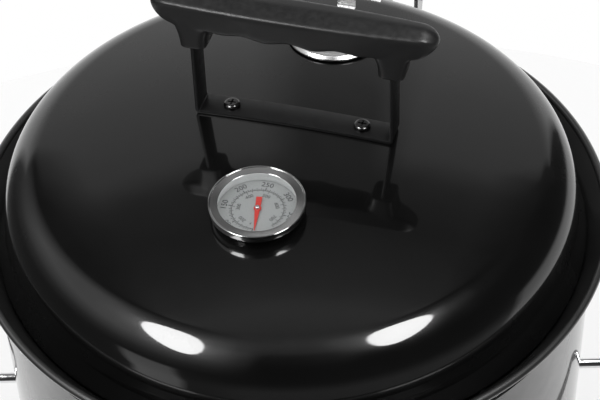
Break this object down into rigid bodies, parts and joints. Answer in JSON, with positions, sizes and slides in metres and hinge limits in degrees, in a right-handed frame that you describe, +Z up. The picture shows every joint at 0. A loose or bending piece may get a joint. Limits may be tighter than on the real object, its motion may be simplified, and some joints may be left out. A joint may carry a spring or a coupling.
{
  "type": "vertical drum smoker",
  "caption": "Free-standing round charcoal smoker: stacked enamelled barrel on legs with a hinged domed lid, lid thermometer, top vent, side handles, grates and pans.",
  "frame": {"origin": "on the floor under the barrel's axis", "axes": "+Z up, -Y to the front where the thermometer and door are, +X to the right seen from the front"},
  "size_m": [0.512, 0.512, 0.899],
  "materials": {
    "black_enamel": "gloss porcelain enamel",
    "black_steel": "satin black powder coat",
    "grip_plastic": "moulded, fine texture",
    "stainless": "spun and brushed",
    "zinc_steel": "bright zinc plate",
    "chrome_wire": "bright chrome plate",
    "lens_glass": "clear",
    "dial_face": "satin silver print",
    "needle_red": "satin",
    "foot_plastic": "moulded"
  },
  "bodies": {
    "smoker_body": {"upper_barrel": "black_enamel", "lower_barrel": "black_enamel", "fire_bowl": "black_enamel", "leg_front": "black_steel", "leg_rear_right": "black_steel", "leg_rear_left": "black_steel", "latch_plates": "stainless", "latch_keepers": "stainless", "lid_hinge_bracket": "stainless", "side_handle_nuts": "zinc_steel", "lid_hinge_pin": "zinc_steel", "hinge_bracket_bolts": "zinc_steel", "latch_pins": "zinc_steel", "latch_rivets": "zinc_steel", "barrel_hinge_leaves": "zinc_steel", "door_hinge_pins": "zinc_steel", "door_rivets": "zinc_steel", "upper_grate_brackets": "zinc_steel", "lower_grate_brackets": "zinc_steel", "water_pan_brackets": "zinc_steel", "charcoal_pan_brackets": "zinc_steel", "bracket_bolts": "zinc_steel", "leg_bolts": "zinc_steel", "bottom_damper_rivet": "zinc_steel", "side_handle_left": "chrome_wire", "side_handle_right": "chrome_wire", "leg_feet": "foot_plastic"},
    "lid": {"lid_shell": "black_enamel", "lid_hinge_leaf": "stainless", "lid_hinge_screws": "zinc_steel", "handle_strap": "black_steel", "handle_grip": "grip_plastic", "handle_plate_screws": "black_steel", "handle_plate_nuts": "zinc_steel", "grip_screws": "zinc_steel", "gauge_case": "stainless", "gauge_lens": "lens_glass", "gauge_dial": "dial_face", "gauge_stem": "stainless", "gauge_nut": "zinc_steel", "vent_rivet": "stainless"},
    "needle": {"gauge_needle": "needle_red"},
    "lid_vent": {"vent_damper": "stainless"},
    "left_latch_lever": {"latch_lever_left": "stainless"},
    "right_latch_lever": {"latch_lever_right": "stainless"},
    "left_latch_loop": {"latch_loop_left": "chrome_wire"},
    "right_latch_loop": {"latch_loop_right": "chrome_wire"},
    "door": {"door_panel": "black_enamel", "door_handle": "chrome_wire", "door_handle_screws": "zinc_steel", "door_hinge_leaves": "zinc_steel", "door_leaf_rivets": "zinc_steel"},
    "upper_grate": {"upper_grate": "chrome_wire", "upper_grate_grips": "chrome_wire"},
    "lower_grate": {"lower_grate": "chrome_wire", "lower_grate_grips": "chrome_wire"},
    "water_pan": {"water_pan": "black_enamel"},
    "charcoal_pan": {"charcoal_pan": "black_enamel", "charcoal_grate": "chrome_wire"},
    "bottom_vent": {"bottom_damper": "zinc_steel"}
  },
  "joints": [
    {"name": "lid_hinge", "type": "hinge", "parent": "smoker_body", "child": "lid", "pos_m": [0, 0.247, 0.744], "axis": [-1, 0, 0], "range_deg": [0, 95]},
    {"name": "needle_turn", "type": "hinge", "parent": "lid", "child": "needle", "pos_m": [0, -0.076, 0.79415], "axis": [0, 0.0559, -0.9984], "range_deg": [-5, 280]},
    {"name": "lid_vent_turn", "type": "hinge", "parent": "lid", "child": "lid_vent", "pos_m": [0, 0.123, 0.7907], "axis": [0, 0.0904, 0.9959], "range_deg": [0, 45]},
    {"name": "bottom_vent_turn", "type": "hinge", "parent": "smoker_body", "child": "bottom_vent", "pos_m": [0, 0, 0.165], "axis": [0, 0, 1], "range_deg": [0, 45]},
    {"name": "door_hinge", "type": "hinge", "parent": "smoker_body", "child": "door", "pos_m": [-0.14869, -0.16807, 0.39], "axis": [0, 0, -1], "range_deg": [0, 110]},
    {"name": "right_latch_lever_turn", "type": "hinge", "parent": "smoker_body", "child": "right_latch_lever", "pos_m": [0.2264, 0, 0.45], "axis": [0, -1, 0], "range_deg": [0, 90]},
    {"name": "left_latch_lever_turn", "type": "hinge", "parent": "smoker_body", "child": "left_latch_lever", "pos_m": [-0.2264, 0, 0.45], "axis": [0, 1, 0], "range_deg": [0, 90]},
    {"name": "right_latch_loop_turn", "type": "hinge", "parent": "right_latch_lever", "child": "right_latch_loop", "pos_m": [0.2249, 0, 0.44113], "axis": [0, -1, 0], "range_deg": [-80, 0]},
    {"name": "left_latch_loop_turn", "type": "hinge", "parent": "left_latch_lever", "child": "left_latch_loop", "pos_m": [-0.2249, 0, 0.44113], "axis": [0, 1, 0], "range_deg": [-80, 0]},
    {"name": "upper_grate_lift", "type": "slide", "parent": "smoker_body", "child": "upper_grate", "axis": [0, 0, 1], "range_m": [0, 0.03]},
    {"name": "lower_grate_lift", "type": "slide", "parent": "smoker_body", "child": "lower_grate", "axis": [0, 0, 1], "range_m": [0, 0.06]},
    {"name": "water_pan_lift", "type": "slide", "parent": "smoker_body", "child": "water_pan", "axis": [0, 0, 1], "range_m": [0, 0.05]},
    {"name": "charcoal_pan_lift", "type": "slide", "parent": "smoker_body", "child": "charcoal_pan", "axis": [0, 0, 1], "range_m": [0, 0.05]}
  ],
  "couplings": [
    {"joint": "right_latch_loop_turn", "follows": "right_latch_lever_turn", "ratio": -0.88},
    {"joint": "left_latch_loop_turn", "follows": "left_latch_lever_turn", "ratio": -0.88}
  ]
}
